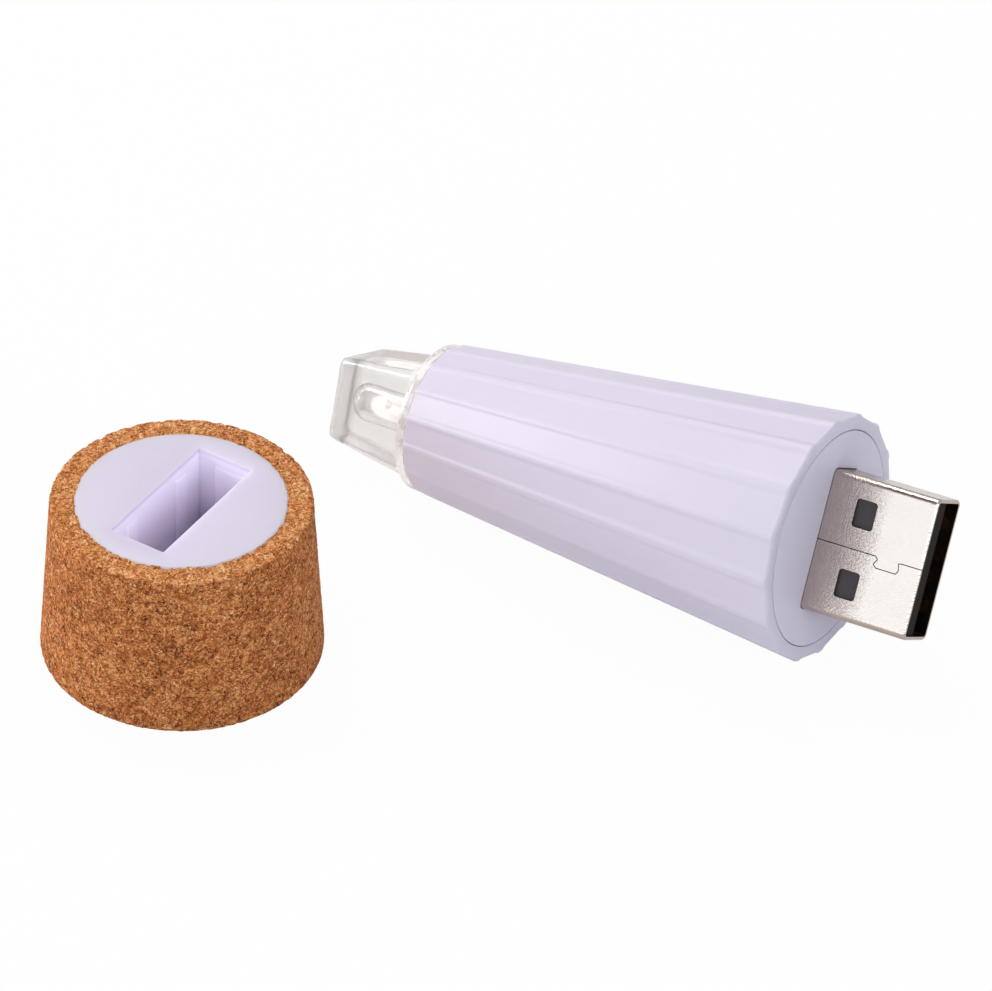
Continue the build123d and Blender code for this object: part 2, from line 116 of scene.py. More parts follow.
def ring(bm, radius, height, segments=ROUND):
    """A level circle of edges."""
    place = Matrix.Translation((0, 0, height))
    made = bmesh.ops.create_circle(bm, segments=segments, radius=radius, matrix=place)
    return list({edge for vertex in made["verts"] for edge in vertex.link_edges})


def corners(edges):
    return list({vertex for edge in edges for vertex in edge.verts})


def grow(bm, edges, height, radius=None, scale=None):
    """Extrudes a ring of edges to a new height, and to a radius or by a scale."""
    made = bmesh.ops.extrude_edge_only(bm, edges=edges)["geom"]
    verts = [g for g in made if isinstance(g, bmesh.types.BMVert)]
    if radius is not None:
        for vertex in verts:
            far = radius / math.hypot(vertex.co.x, vertex.co.y)
            vertex.co.xy = vertex.co.xy * far
    if scale is not None:
        bmesh.ops.scale(bm, vec=(scale, scale, 1), verts=verts)
    for vertex in verts:
        vertex.co.z = height
    return [g for g in made if isinstance(g, bmesh.types.BMEdge)]


def grow_all(bm, edges, steps):
    """Grows a ring through a list of (radius, height) steps."""
    for radius, height in steps:
        edges = grow(bm, edges, height, radius=radius)
    return edges


def close(bm, edges):
    """Fills a level loop of edges with one face."""
    return bmesh.ops.contextual_create(bm, geom=edges)["faces"]


def rounded_loop(bm, half_x, half_y, corner, height, segments=5):
    """A level rectangle of edges with rounded corners."""
    made = bmesh.ops.create_grid(bm, x_segments=1, y_segments=1, size=1)
    bmesh.ops.scale(bm, vec=(half_x, half_y, 1), verts=made["verts"])
    bmesh.ops.translate(bm, vec=(0, 0, height), verts=made["verts"])
    rounded = bmesh.ops.bevel(
        bm, geom=made["verts"], offset=corner, segments=segments, profile=0.5, affect="VERTICES", material=-1
    )
    face = next(f for vertex in rounded["verts"] for f in vertex.link_faces)
    edges = list(face.edges)
    bmesh.ops.delete(bm, geom=[face], context="FACES_ONLY")
    return edges


def folds(bm, angle):
    """The edges where two faces meet at more than an angle in degrees."""
    turned = math.radians(angle)
    return [e for e in bm.edges if len(e.link_faces) == 2 and e.calc_face_angle(0) > turned]


def soften(bm, edges, width, segments=3):
    """Bevels edges with a round profile."""
    bmesh.ops.bevel(
        bm, geom=edges, offset=width, segments=segments, profile=0.5,
        affect="EDGES", material=-1, clamp_overlap=True,
    )


def finish_piece(bm, name, place, body, material, replaces=(), sharp=30):
    """Lays a mesh in its place, shades it, and hands it to its body and its material."""
    bmesh.ops.transform(bm, matrix=place, verts=bm.verts)
    mesh = bpy.data.meshes.new(name)
    bm.to_mesh(mesh)
    bm.free()
    mesh.shade_smooth()
    mesh.set_sharp_from_angle(angle=math.radians(sharp))
    piece = bpy.data.objects.new(name, mesh)
    bpy.context.scene.collection.objects.link(piece)
    mesh.materials.append(material)
    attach(piece, body)
    if replaces:
        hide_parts(*replaces)
    print(name, "faces:", len(mesh.polygons))
    return piece


# %% [markdown]
# Materials are node trees. Each one reads Object coordinates, which on this model are metres in the
# table's frame, and a Mapping node turns them into millimetres so that a texture's scale is a count
# per millimetre. A few helpers keep each recipe short: one adds a node, others do arithmetic, mix two
# colours, fade a number from one place to another and look a colour up in a ramp.

# %% Node helpers
def new_material(name, **shader_settings):
    """A material with its shader's plain settings, such as Roughness."""
    material = bpy.data.materials.new(name)
    material.use_nodes = True
    shader = material.node_tree.nodes["Principled BSDF"]
    for socket, value in shader_settings.items():
        shader.inputs[socket.replace("_", " ")].default_value = value
    return material, shader


def add(material, kind, sockets=None, **settings):
    """One node. A socket takes a number, a colour, or another node's output."""
    made = material.node_tree.nodes.new(kind)
    for key, value in settings.items():
        setattr(made, key, value)
    for key, value in (sockets or {}).items():
        if isinstance(value, bpy.types.NodeSocket):
            material.node_tree.links.new(value, made.inputs[key])
        else:
            made.inputs[key].default_value = value
    return made


def link(material, output, socket):
    material.node_tree.links.new(output, socket)


def millimetres(material, stretch=(1, 1, 1)):
    """Object coordinates counted in millimetres."""
    place = add(material, "ShaderNodeTexCoord").outputs["Object"]
    scale = [share / MM for share in stretch]
    return add(material, "ShaderNodeMapping", {"Vector": place, "Scale": scale}).outputs[0]


def part_of(material, vector, axis):
    """One of a vector's three numbers."""
    return add(material, "ShaderNodeSeparateXYZ", {0: vector}).outputs["XYZ".index(axis)]


def sums(material, operation, first, second=0.0, third=0.0):
    """Arithmetic on two or three numbers."""
    made = add(material, "ShaderNodeMath", {0: first, 1: second, 2: third}, operation=operation)
    return made.outputs[0]


def vectors(material, operation, first, second=(0, 0, 0), third=(0, 0, 0), scale=1.0):
    """Arithmetic on two or three vectors."""
    sockets = {0: first, 1: second, 2: third, 3: scale}
    made = add(material, "ShaderNodeVectorMath", sockets, operation=operation)
    return made.outputs[1 if operation in ("DOT_PRODUCT", "LENGTH") else 0]


def mixed(material, factor, first, second, blend="MIX"):
    """One colour laid over another."""
    sockets = {0: factor, 6: first, 7: second}
    return add(material, "ShaderNodeMix", sockets, data_type="RGBA", blend_type=blend).outputs[2]


def faded(material, value, start, end, low=0.0, high=1.0):
    """A number that goes from low to high while a value goes from its start to its end."""
    sockets = {"Value": value, "From Min": start, "From Max": end, "To Min": low, "To Max": high}
    return add(material, "ShaderNodeMapRange", sockets).outputs[0]


def ramp(material, factor, stops):
    """A colour looked up by a number between 0 and 1."""
    made = add(material, "ShaderNodeValToRGB", {0: factor})
    elements = made.color_ramp.elements
    while len(elements) < len(stops):
        elements.new(0.5)
    for element, (place, colour) in zip(elements, stops):
        element.position = place
        element.color = (*colour, 1)
    return made.outputs[0]


def clouds(material, where, scale, detail=2.0, roughness=0.5):
    """Soft noise between 0 and 1."""
    sockets = {"Vector": where, "Scale": scale, "Detail": detail, "Roughness": roughness}
    return add(material, "ShaderNodeTexNoise", sockets).outputs[0]


def along_the_light(material):
    """Millimetres along the light's axis, from its small rim towards the plug."""
    start = AXIS.dot(Vector(twist["pos_m"])) / MM
    return sums(material, "SUBTRACT", vectors(material, "DOT_PRODUCT", millimetres(material), AXIS), start)


def glow(material, shader, colour, strength):
    """A painted glow, standing in for light that leaves a thick or clear piece after wandering inside it."""
    shader.inputs["Emission Color"].default_value = (*colour, 1)
    link(material, strength, shader.inputs["Emission Strength"])


def bump(material, shader, height, strength, depth):
    """Turns a height between 0 and 1 into slopes that the light can see."""
    made = add(material, "ShaderNodeBump", {"Height": height, "Strength": strength, "Distance": depth})
    link(material, made.outputs[0], shader.inputs["Normal"])


# %% [markdown]
# The shell, its end disc and the cap's insert are moulded in one pale lavender plastic. Up close such
# plastic isn't one flat colour: the melt leaves faint clouds, the gloss is a little uneven, and light
# goes a short way in before it comes out. A plain colour with a gloss value would look like paint. So
# the colour drifts slowly with soft noise, some subsurface scattering is set on the shader itself, and
# a very shallow bump makes reflections waver as on a real moulding. The insert is much thicker than the
# shell, so more light travels further in it, and its slot stays purple deep down instead of going grey.
# Scattering alone left the slot too dark, so a faint painted glow that fades with depth stands in for
# the light that went in at the insert's top and comes out in its slot.

# %% Lavender plastic
LAVENDER = (0.730, 0.676, 0.798)
LAVENDER_DEEP = (0.690, 0.636, 0.768)
# The colour of the painted glow in the insert's slot.
SLOT_PAINTED_GLOW = (0.90, 0.80, 1.0)
SLOT_PAINTED_GLOW_STRENGTH = 0.34
# The painted glow's highest place over the table, its reach down and where it fades in, in millimetres.
SLOT_PAINTED_GLOW_START = 15.17
SLOT_PAINTED_GLOW_REACH = 6.5
SLOT_PAINTED_GLOW_FADE = (0.05, 0.50)


def lavender_plastic(name, weight, reach, tone):
    material, shader = new_material(name, Roughness=0.38, IOR=1.46, Subsurface_Weight=weight)
    shader.inputs["Subsurface Radius"].default_value = (0.9, 0.8, 1.1)
    shader.inputs["Subsurface Scale"].default_value = reach
    where = millimetres(material)
    drift = clouds(material, where, 0.12, detail=3)
    deep = tuple(tone * part for part in LAVENDER_DEEP)
    pale = tuple(tone * part for part in LAVENDER)
    link(material, mixed(material, drift, (*deep, 1), (*pale, 1)), shader.inputs["Base Color"])
    gloss = clouds(material, where, 0.5, detail=2)
    link(material, sums(material, "MULTIPLY_ADD", gloss, 0.12, 0.37), shader.inputs["Roughness"])
    bump(material, shader, clouds(material, where, 0.6, detail=3), 0.25, 0.03 * MM)
    return material


def painted_glow_in_the_slot(material):
    """A painted glow in the slot, for light that went in at the insert's top; less of it further down."""
    shader = material.node_tree.nodes["Principled BSDF"]
    down = sums(material, "SUBTRACT", SLOT_PAINTED_GLOW_START, part_of(material, millimetres(material), "Z"))
    strength = faded(material, down, 0.0, SLOT_PAINTED_GLOW_REACH, SLOT_PAINTED_GLOW_STRENGTH, 0.0)
    inside = faded(material, down, *SLOT_PAINTED_GLOW_FADE)
    glow(material, shader, SLOT_PAINTED_GLOW, sums(material, "MULTIPLY", strength, inside))


SHELL_PLASTIC = lavender_plastic("lavender_plastic", 0.20, 0.4 * MM, 0.975)
INSERT_PLASTIC = lavender_plastic("lavender_plastic_thick", 0.90, 1.2 * MM, 0.965)
painted_glow_in_the_slot(INSERT_PLASTIC)

# %% [markdown]
# Agglomerated cork is chips of bark pressed together with a little glue. Each chip has its own tone
# and its own grain, and dark gaps show between some of them. One noise texture can't do that, because
# it has no chips. Here a cell texture gives the chips and random values for each one. They set the
# chip's tone, how red it is, how strong its fine grain is and which way the grain is stretched. A
# second, finer set of cells breaks the chips up, a gap mask darkens part of their borders, and dark and
# pale specks are scattered over all of it. The cut top is painted paler than the sides, as painted light
# from above.

# %% Cork
CORK_TONES = (
    (0.00, (0.070, 0.018, 0.006)),
    (0.25, (0.310, 0.086, 0.021)),
    (0.48, (0.570, 0.190, 0.050)),
    (0.72, (0.790, 0.350, 0.120)),
    (1.00, (1.000, 0.700, 0.400)),
)
CHIPS_PER_MM = 1.6
FLAKES_PER_MM = 5.0
GRAIN_PER_MM = 8.5
DARKEST_TONE = 0.154
CHIP_TONE = 0.20
FLAKE_TONE = 0.42
GRAIN_TONE = 1.00
CHIP_GRAIN_TONE = 1.70
GAP_TONE = -0.30
GRAIN_SQUEEZE = -0.55
CORK_RED = (1.0, 0.83, 0.73, 1)
# The cut top starts at this height in millimetres, and its painted light, a paler tone, comes in over the
# fade.
CUT_FACE = 15.0
CUT_FACE_FADE = 0.1
CUT_FACE_PAINTED_LIGHT = 0.145
# Each row: specks per millimetre, where they start in the noise, how sharp they are, their tone.
SPECKS = ((1.3, 0.65, 18.0, -0.36), (4.0, 0.60, 20.0, -0.50), (4.6, 0.61, 20.0, 0.30))


def cells(material, where, per_mm, feature="F1"):
    return add(material, "ShaderNodeTexVoronoi", {"Vector": where, "Scale": per_mm}, feature=feature)


def cork(name):
    material, shader = new_material(name, Roughness=0.85, IOR=1.40, Specular_IOR_Level=0.35)
    where = millimetres(material)
    wobble = add(material, "ShaderNodeTexNoise", {"Vector": where, "Scale": 1.6, "Detail": 3.0}).outputs[1]
    pushed = vectors(material, "MULTIPLY_ADD", wobble, (0.5, 0.5, 0.5), (-0.25, -0.25, -0.25))
    warped = vectors(material, "ADD", where, pushed)

    chips = cells(material, warped, CHIPS_PER_MM)
    flakes = cells(material, warped, FLAKES_PER_MM)
    borders = cells(material, warped, CHIPS_PER_MM, feature="DISTANCE_TO_EDGE").outputs["Distance"]
    chip_value = add(material, "ShaderNodeSeparateColor", {0: chips.outputs["Color"]}).outputs
    flake_value = add(material, "ShaderNodeSeparateColor", {0: flakes.outputs["Color"]}).outputs

    aim = vectors(material, "SUBTRACT", chips.outputs["Color"], (0.5, 0.5, 0.5))
    aim = vectors(material, "NORMALIZE", aim)
    along = vectors(material, "DOT_PRODUCT", warped, aim)
    squeeze = sums(material, "MULTIPLY", along, GRAIN_SQUEEZE)
    grain_place = vectors(material, "ADD", warped, vectors(material, "SCALE", aim, scale=squeeze))
    grain = clouds(material, grain_place, GRAIN_PER_MM, detail=4, roughness=0.7)

    tone = sums(material, "MULTIPLY_ADD", chip_value[0], CHIP_TONE, DARKEST_TONE)
    tone = sums(material, "MULTIPLY_ADD", flake_value[1], FLAKE_TONE, tone)
    coarse = sums(material, "MULTIPLY_ADD", chip_value[1], CHIP_GRAIN_TONE, GRAIN_TONE)
    grain = sums(material, "MULTIPLY", sums(material, "SUBTRACT", grain, 0.5), coarse)
    tone = sums(material, "ADD", grain, tone)
    # Painted light: the top is made paler than the sides, as if lit from above.
    cut = faded(material, part_of(material, where, "Z"), CUT_FACE, CUT_FACE + CUT_FACE_FADE)
    tone = sums(material, "MULTIPLY_ADD", cut, CUT_FACE_PAINTED_LIGHT, tone)

    border = sums(material, "SMOOTH_MIN", sums(material, "MULTIPLY", borders, 15.0), 1.0, 0.2)
    gap = sums(material, "SUBTRACT", 1.0, border)
    open_gap = sums(material, "GREATER_THAN", clouds(material, where, 1.4, detail=2), 0.50)
    gap = sums(material, "MULTIPLY", gap, open_gap)
    tone = sums(material, "MULTIPLY_ADD", gap, GAP_TONE, tone)

    flat = millimetres(material, stretch=(1, 1, 1.9))
    for per_mm, start, sharpness, speck_tone in SPECKS:
        speck = sums(material, "SUBTRACT", clouds(material, flat, per_mm, detail=4, roughness=0.62), start)
        speck = add(material, "ShaderNodeClamp", {0: sums(material, "MULTIPLY", speck, sharpness)}).outputs[0]
        tone = sums(material, "MULTIPLY_ADD", speck, speck_tone, tone)

    drift = clouds(material, where, 0.16, detail=2)
    tone = sums(material, "MULTIPLY_ADD", sums(material, "SUBTRACT", drift, 0.5), 0.12, tone)
    bark = ramp(material, tone, CORK_TONES)
    redder = sums(material, "MULTIPLY", chip_value[2], 0.55)
    link(material, mixed(material, redder, bark, CORK_RED, blend="MULTIPLY"), shader.inputs["Base Color"])
    bump(material, shader, tone, 0.55, 0.12 * MM)
    return material


CORK = cork("agglomerated_cork")

# %% [markdown]
# The plug's shell is folded steel sheet under bright nickel. What the eye reads as its colour is mostly
# what it reflects: near the disc it mirrors the lavender, further out the bright room. A fine peppery
# grain in the plating breaks the reflection up, so the grain goes into the bump and not into the
# colour. Sockets have rubbed it smooth towards the plug's mouth, so the bump fades along the axis. A
# perfect mirror would look like a computer picture, and a plain rough metal like zinc.

# %% Metals
# The stretch along the light's axis, in millimetres, over which the grain is worn down.
WORN = (41.5, 44.0)
WORN_STRENGTH = 0.30


def metal(name, colour, roughness=0.25, grain_depth=0.003 * MM, strength=0.5):
    material, shader = new_material(name, Metallic=1.0, Roughness=roughness)
    where = millimetres(material)
    grain = clouds(material, where, 8.0, detail=2)
    patch = clouds(material, where, 0.35, detail=3)
    dull = tuple(0.90 * part for part in colour)
    link(material, mixed(material, patch, (*dull, 1), (*colour, 1)), shader.inputs["Base Color"])
    link(material, sums(material, "MULTIPLY_ADD", patch, 0.12, roughness - 0.06), shader.inputs["Roughness"])
    bump(material, shader, grain, strength, grain_depth)
    return material


def wear_smooth(material):
    """Fades a metal's grain along the light's axis, as where a plug is rubbed by its socket."""
    left = faded(material, along_the_light(material), *WORN, 1.0, WORN_STRENGTH)
    grain = next(node for node in material.node_tree.nodes if node.bl_idname == "ShaderNodeBump")
    link(material, left, grain.inputs["Strength"])


PLUG_STEEL = metal("nickel_plated_steel", (0.57, 0.475, 0.42), 0.09, grain_depth=0.048 * MM, strength=1.0)
wear_smooth(PLUG_STEEL)
GOLD_FLASH = metal("gold_flash", (0.95, 0.70, 0.30), roughness=0.22)
BRASS_STRIP = metal("brass_strip", (0.86, 0.66, 0.32), roughness=0.25)
NICKEL_STRIP = metal("nickel_strip", (0.78, 0.76, 0.72), roughness=0.30)
BATTERY_STEEL = metal("battery_steel", (0.74, 0.74, 0.75), roughness=0.24)
TINNED_WIRE = metal("tinned_wire", (0.80, 0.80, 0.80), roughness=0.32)


# %% [markdown]
# The pieces inside and the plug's core are plain mouldings, boards and insulation. They share one
# recipe: a base colour with faint drift, a gloss, and a shallow bump whose scale suits the piece, such
# as a moulded texture on the carrier or the weave that shows through a circuit board. The plug's black
# core is charcoal in the windows. Its mouth lies in shade, and that shade is painted: the core's colour
# and its shine fall off towards the mouth, to almost black.

# %% Plain mouldings
# The colour of the painted shade in the plug's mouth.
PLUG_MOUTH_PAINTED_SHADE = (0.026, 0.022, 0.019, 1)
# The stretch along x, in millimetres, over which painted shade makes the core darker.
PLUG_MOUTH = (29.0, 31.0)
CORE_SHINE = 0.40
PLUG_MOUTH_SHINE = 0.02


def moulding(name, colour, roughness=0.45, per_mm=3.0):
    material, shader = new_material(name, Roughness=roughness)
    where = millimetres(material)
    deep = tuple(0.88 * part for part in colour)
    drift = clouds(material, where, 0.3, detail=3)
    link(material, mixed(material, drift, (*deep, 1), (*colour, 1)), shader.inputs["Base Color"])
    link(material, sums(material, "MULTIPLY_ADD", drift, 0.1, roughness - 0.05), shader.inputs["Roughness"])
    bump(material, shader, clouds(material, where, per_mm, detail=2), 0.4, 0.01 * MM)
    return material


def paint_shade_in_the_mouth(material):
    """Painted shade on the tongue's end, as in the photograph, where the plug's mouth is almost black."""
    shader = material.node_tree.nodes["Principled BSDF"]
    place = part_of(material, millimetres(material), "X")
    share = faded(material, place, *PLUG_MOUTH)
    plain = shader.inputs["Base Color"].links[0].from_socket
    link(material, mixed(material, share, plain, PLUG_MOUTH_PAINTED_SHADE), shader.inputs["Base Color"])
    # The shine falls off in the mouth too, as part of the painted shade.
    shine = faded(material, place, *PLUG_MOUTH, CORE_SHINE, PLUG_MOUTH_SHINE)
    link(material, shine, shader.inputs["Specular IOR Level"])


PLUG_BLACK = moulding("insulator_black", (0.070, 0.060, 0.063), roughness=0.50, per_mm=6.0)
paint_shade_in_the_mouth(PLUG_BLACK)
CARRIER_WHITE = moulding("carrier_white", (0.80, 0.80, 0.82), roughness=0.42)
BOARD_GREEN = moulding("board_green", (0.020, 0.170, 0.065), roughness=0.30, per_mm=2.0)
SLEEVE_BLUE = moulding("sleeve_blue", (0.060, 0.180, 0.480), roughness=0.25, per_mm=0.8)
GASKET_NYLON = moulding("gasket_nylon", (0.72, 0.71, 0.68), roughness=0.50)
WIRE_RED = moulding("wire_red", (0.55, 0.025, 0.025), roughness=0.35)
WIRE_BLACK = moulding("wire_black", (0.020, 0.020, 0.022), roughness=0.35)
CHIP_EPOXY = moulding("chip_epoxy", (0.030, 0.030, 0.032), roughness=0.60, per_mm=8.0)
RESISTOR_GLAZE = moulding("resistor_glaze", (0.045, 0.045, 0.050), roughness=0.35)
CAPACITOR_TAN = moulding("capacitor_tan", (0.420, 0.290, 0.170), roughness=0.55)
INDICATOR_RESIN = moulding("indicator_resin", (0.85, 0.80, 0.45), roughness=0.20)


# %% [markdown]
# The lens tip and the lamp are clear. Clear plastic is all edges: the faces vanish and the corners
# bend the room into dark and bright lines. That needs real thickness, a real hollow and a refractive
# index, with a touch of roughness because a moulded surface is never as flat as glass. A see-through
# alpha would be quicker, but it bends nothing and would look like a soap bubble. The lens tip is hazier
# at its flange and at its end, so part of the light is scattered there instead of passing through, and
# clearer streaks break up the flange's rim. A faint painted glow in the flange and in the lamp stands in
# for the light that clear plastic gathers and lets out again.

# %% Clear plastic
# Each pair is a stretch along the light's axis, in millimetres, over which the haze comes or goes.
FLANGE_HAZE = (-1.6, -0.8)
FLANGE_RIM = (-0.80, -0.70)
END_HAZE = (-9.1, -8.4)
CLEAR_SHARE = 0.83
FLANGE_SHARE = 0.50
STREAKS_PER_MM = 1.1
STREAK_GAIN = 3.4
STREAK_START = -1.1
END_SHARE = 0.45
# Strengths of the painted glows in the flange and in the lamp.
FLANGE_PAINTED_GLOW = 0.09
LAMP_PAINTED_GLOW = 0.32


def clear(name, tint, ior, roughness, wave):
    material, shader = new_material(name, Roughness=roughness, IOR=ior, Transmission_Weight=1.0)
    where = millimetres(material)
    drift = clouds(material, where, 0.5, detail=2)
    dim = tuple(0.96 * part for part in tint)
    link(material, mixed(material, drift, (*dim, 1), (*tint, 1)), shader.inputs["Base Color"])
    bump(material, shader, clouds(material, where, 0.8, detail=2), wave, 0.03 * MM)
    return material


def frost(material):
    """Makes the lens tip hazier at its flange and at its end than between them."""
    shader = material.node_tree.nodes["Principled BSDF"]
    along = along_the_light(material)
    at_flange = faded(material, along, *FLANGE_HAZE, CLEAR_SHARE, FLANGE_SHARE)
    streaks = clouds(material, millimetres(material), STREAKS_PER_MM, detail=2)
    clearer = sums(material, "MULTIPLY_ADD", streaks, STREAK_GAIN, STREAK_START)
    clearer = sums(material, "MULTIPLY", clearer, faded(material, along, *FLANGE_RIM))
    at_flange = sums(material, "MAXIMUM", at_flange, clearer)
    at_flange = sums(material, "MINIMUM", at_flange, CLEAR_SHARE)
    at_end = faded(material, along, *END_HAZE, END_SHARE, CLEAR_SHARE)
    link(material, sums(material, "MINIMUM", at_flange, at_end), shader.inputs["Transmission Weight"])
    # A painted glow in the flange.
    glow(material, shader, (1.0, 0.94, 0.92), faded(material, along, *FLANGE_HAZE, 0.0, FLANGE_PAINTED_GLOW))


LENS_CLEAR = clear("lens_clear", (0.93, 0.90, 0.885), 1.49, roughness=0.11, wave=0.45)
frost(LENS_CLEAR)
LAMP_EPOXY = clear("lamp_epoxy", (0.97, 0.965, 0.955), 1.52, roughness=0.06, wave=0.35)
# A painted glow in the lamp, standing in for light that its clear body gathers.
lamp_shader = LAMP_EPOXY.node_tree.nodes["Principled BSDF"]
lamp_shader.inputs["Emission Color"].default_value = (1.0, 0.97, 0.96, 1)
lamp_shader.inputs["Emission Strength"].default_value = LAMP_PAINTED_GLOW

# %% [markdown]
# The shell is a hollow cone with sixteen low ribs. The ribs get lower towards the small end exactly
# as the cone gets slimmer, so the two rims are the same outline at two sizes. That makes it one ring
# with a ribbed outline, extruded to the other rim and scaled. The outline's radius is a formula of the
# angle: flat between ribs, a soft flank, and a slightly crowned top.

# %% Sizes of the shell, read from the model
shell_points = upright("fluted_shell", LAID)
SHELL_LENGTH = highest(shell_points)
WIDE_RADIUS = widest(shell_points)
SMALL_RADIUS = widest([p for p in shell_points if p.z < HAIR])
RIB_HEIGHT_SHARE = 0.018
RIB_TOP_SHARE = 0.07
RIB_FOOT_SHARE = 0.175
RIB_CROWN_SHARE = 0.002
POINTS_PER_PITCH = 24
disc_points = upright("end_disc", LAID)
DISC_RADIUS = widest(disc_points)
DISC_START = lowest(disc_points)
DISC_SEAM = 0.06 * MM
SHELL_WALL = 1.2 * MM
SOCKET_DEPTH = 3.6 * MM
SOCKET_RADIUS = 4.9 * MM
GROOVE_RADIUS = 5.15 * MM
GROOVE_LOW = 1.175 * MM
GROOVE_HIGH = 1.875 * MM
SMALL_RIM_EDGE = 0.12 * MM
WIDE_RIM_EDGE = 0.28 * MM
print("shell:", round(SHELL_LENGTH / MM, 2), round(WIDE_RADIUS / MM, 2), round(SMALL_RADIUS / MM, 2))


# %% The fluted shell
def eased(value):
    """A smooth step from 0 to 1."""
    value = min(max(value, 0.0), 1.0)
    return value * value * (3 - 2 * value)


def rib_share(angle):
    """The outline's radius at an angle, as a share of the radius over the ribs."""
    aside = abs((angle / RIB_PITCH + 0.5) % 1 - 0.5)
    flute = 1 - RIB_HEIGHT_SHARE
    if aside >= RIB_FOOT_SHARE:
        half = math.cos(RIB_PITCH * (0.5 - RIB_FOOT_SHARE))
        return flute * half / math.cos(RIB_PITCH * (0.5 - aside))
    if aside <= RIB_TOP_SHARE:
        return 1 - RIB_CROWN_SHARE * (aside / RIB_TOP_SHARE) ** 2
    climb = (RIB_FOOT_SHARE - aside) / (RIB_FOOT_SHARE - RIB_TOP_SHARE)
    return flute + (1 - RIB_CROWN_SHARE - flute) * eased(climb)


def fluted_shell():
    bm = bmesh.new()
    edges = ring(bm, SMALL_RADIUS, 0, segments=RIB_COUNT * POINTS_PER_PITCH)
    for vertex in corners(edges):
        share = rib_share(math.atan2(vertex.co.y, vertex.co.x))
        vertex.co.xy = vertex.co.xy * share
    wide = grow(bm, edges, SHELL_LENGTH, scale=WIDE_RADIUS / SMALL_RADIUS)
    socket = [
        (SOCKET_RADIUS, 0),
        (SOCKET_RADIUS, GROOVE_LOW),
        (GROOVE_RADIUS, GROOVE_LOW),
        (GROOVE_RADIUS, GROOVE_HIGH),
        (SOCKET_RADIUS, GROOVE_HIGH),
        (SOCKET_RADIUS, SOCKET_DEPTH),
    ]
    inner_end = grow_all(bm, edges, socket)
    seat = DISC_RADIUS + DISC_SEAM
    growth = (WIDE_RADIUS - SMALL_RADIUS) * (1 - RIB_HEIGHT_SHARE) / SHELL_LENGTH
    hollow = SMALL_RADIUS * (1 - RIB_HEIGHT_SHARE) - SHELL_WALL
    inside = [
        (seat, SHELL_LENGTH),
        (seat, DISC_START),
        (hollow + growth * DISC_START, DISC_START),
        (hollow + growth * SOCKET_DEPTH, SOCKET_DEPTH),
        (SOCKET_RADIUS, SOCKET_DEPTH),
    ]
    last = grow_all(bm, wide, inside)
    bmesh.ops.remove_doubles(bm, verts=corners(last) + corners(inner_end), dist=HAIR)
    bmesh.ops.recalc_face_normals(bm, faces=bm.faces)
    rims = [e for e in folds(bm, 50) if abs(e.verts[0].co.z - e.verts[1].co.z) < HAIR]
    small = [e for e in rims if abs(e.verts[0].co.z) < HAIR]
    large = [e for e in rims if e.verts[0].co.z > SHELL_LENGTH - HAIR]
    inner = [e for e in large if e.verts[0].co.xy.length < seat + HAIR]
    outer = [e for e in large if e not in inner]
    soften(bm, small + inner, SMALL_RIM_EDGE, segments=2)
    soften(bm, [e for e in outer if e.is_valid], WIDE_RIM_EDGE, segments=4)
    return bm


finish_piece(
    fluted_shell(),
    "shell",
    LAID,
    "light",
    SHELL_PLASTIC,
    replaces=["fluted_shell"],
    sharp=24,
)

# %% [markdown]
# The end disc closes the shell round the plug. It is the same plastic, so what sets it apart is its
# seam and its small edge radii. It is made as an outer ring and an inner loop at the same height with
# one filled face between them. Both are then extruded down, the underside is filled, and every fold is
# bevelled.

# %% The end disc
plug_points = upright("plug_shell", LAID)
PLUG_HALF_WIDTH = max(p.x for p in plug_points)
PLUG_HALF_THICKNESS = max(p.y for p in plug_points)
PLUG_GAP = 0.05 * MM
PLUG_CORNER = 0.55 * MM
DISC_EDGE = 0.08 * MM


def end_disc():
    bm = bmesh.new()
    outer = ring(bm, DISC_RADIUS, SHELL_LENGTH)
    corner = PLUG_CORNER + PLUG_GAP
    inner = rounded_loop(bm, PLUG_HALF_WIDTH + PLUG_GAP, PLUG_HALF_THICKNESS + PLUG_GAP, corner, SHELL_LENGTH)
    bmesh.ops.triangle_fill(bm, use_beauty=True, edges=outer + inner)
    outer = grow(bm, outer, DISC_START, scale=1)
    inner = grow(bm, inner, DISC_START, scale=1)
    bmesh.ops.triangle_fill(bm, use_beauty=True, edges=outer + inner)
    bmesh.ops.recalc_face_normals(bm, faces=bm.faces)
    soften(bm, folds(bm, 50), DISC_EDGE, segments=3)
    return bm


finish_piece(end_disc(), "disc", LAID, "light", SHELL_PLASTIC, replaces=["end_disc"])

# %% [markdown]
# The cap's insert is a plug of the same plastic, flush with the cork, with a deep slot that grips the
# light's plug by low ribs on its walls. The slot's sharp mouth and the soft shadow in it are what the
# eye goes to. The slot is one loop of edges, extruded down ring by ring, and below its plain mouth the
# rings bulge inwards where a rib stands. Bars pushed into the walls would be quicker, but light that
# travels inside the plastic would stop at their hidden faces and leave grey patches.

